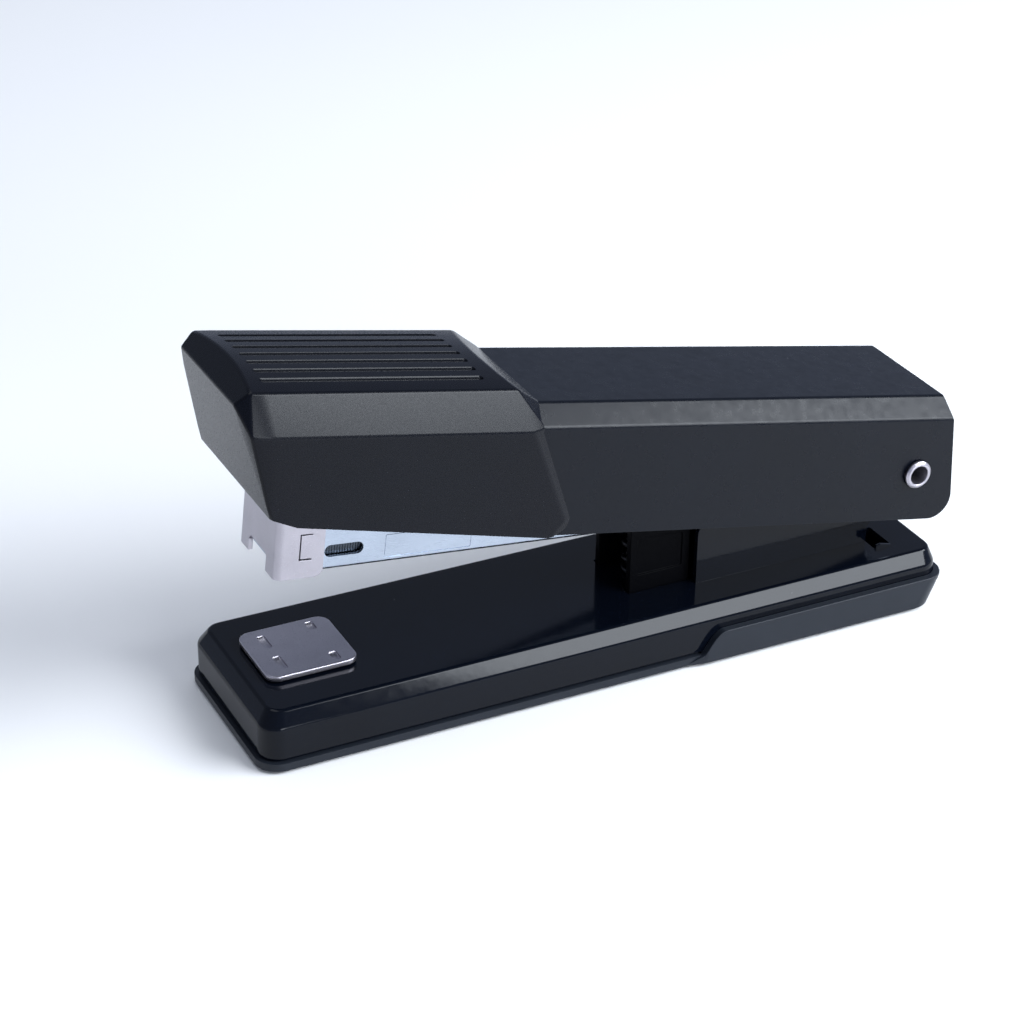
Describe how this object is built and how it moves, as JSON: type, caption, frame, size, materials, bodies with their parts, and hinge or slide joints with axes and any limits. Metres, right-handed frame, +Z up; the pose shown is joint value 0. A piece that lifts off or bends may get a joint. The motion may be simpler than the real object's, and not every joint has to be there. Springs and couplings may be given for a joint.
{
  "type": "stapler",
  "caption": "Full-strip desk stapler with a metal cover, a ribbed plastic nose cap, a hinged staple magazine, a sprung pusher, a turning anvil and a steel base in a plastic shell.",
  "frame": {"origin": "on the table plane, under the middle of the whole object at rest", "axes": "+X from the nose to the hinge end, +Z up, +Y across to the far side"},
  "size_m": [0.148, 0.0406, 0.075],
  "materials": {
    "black_paint": "semi-gloss black enamel",
    "cap_plastic": "fine spark-eroded texture",
    "shell_plastic": "satin moulded",
    "bracket_black": "matt black",
    "nickel": "satin nickel plate",
    "zinc": "bright zinc plate",
    "spring_steel": "drawn wire and rolled strip",
    "staple_wire": "galvanised wire",
    "rubber": "matt",
    "nylon": "natural nylon"
  },
  "bodies": {
    "base": {"base_plate": "black_paint", "base_shell": "shell_plastic", "foot_front": "rubber", "foot_rear": "rubber", "lift_spring": "spring_steel", "anvil_spring": "spring_steel"},
    "anvil_post": {"anvil_button": "zinc"},
    "anvil": {"anvil_plate": "nickel"},
    "magazine": {"magazine_channel": "zinc", "nose_piece": "nickel", "staple_rail": "zinc", "staple_strip": "staple_wire", "stop_bracket": "bracket_black", "bracket_rivet": "zinc", "spring_anchor": "zinc", "pusher_spring": "spring_steel"},
    "pusher": {"pusher": "zinc"},
    "handle": {"cover": "black_paint", "cap": "cap_plastic", "driver_beam": "zinc", "driver_blade": "spring_steel", "driver_rivet_1": "zinc", "driver_rivet_2": "zinc", "cap_screw_1": "zinc", "cap_screw_2": "zinc", "hinge_rivet": "nickel", "hinge_bush_near": "nylon", "hinge_bush_far": "nylon", "torsion_spring": "spring_steel"}
  },
  "joints": [
    {"name": "magazine_pivot", "type": "hinge", "parent": "base", "child": "magazine", "pos_m": [0.06506, 0, 0.0295], "axis": [0, 1, 0], "range_deg": [-8.1, 0], "stiffness_Nm_per_rad": 1.6, "springref_deg": 11.46, "deforming": ["lift_spring"]},
    {"name": "handle_pivot", "type": "hinge", "parent": "magazine", "child": "handle", "pos_m": [0.06506, 0, 0.0295], "axis": [0, 1, 0], "range_deg": [-4.8, 80], "stiffness_Nm_per_rad": 2, "springref_deg": 2.01},
    {"name": "pusher_slide", "type": "slide", "parent": "magazine", "child": "pusher", "axis": [0.9943, 0, -0.1063], "range_m": [0, 0.055], "stiffness_N_per_m": 30, "springref_m": -0.05},
    {"name": "anvil_press", "type": "slide", "parent": "base", "child": "anvil_post", "axis": [0, 0, 1], "range_m": [0, 0.0012], "stiffness_N_per_m": 600, "springref_m": -0.003, "deforming": ["anvil_spring"]},
    {"name": "anvil_turn", "type": "hinge", "parent": "anvil_post", "child": "anvil", "pos_m": [-0.05886, 0, 0.0127], "axis": [0, 0, 1], "range_deg": [0, 180]}
  ]
}
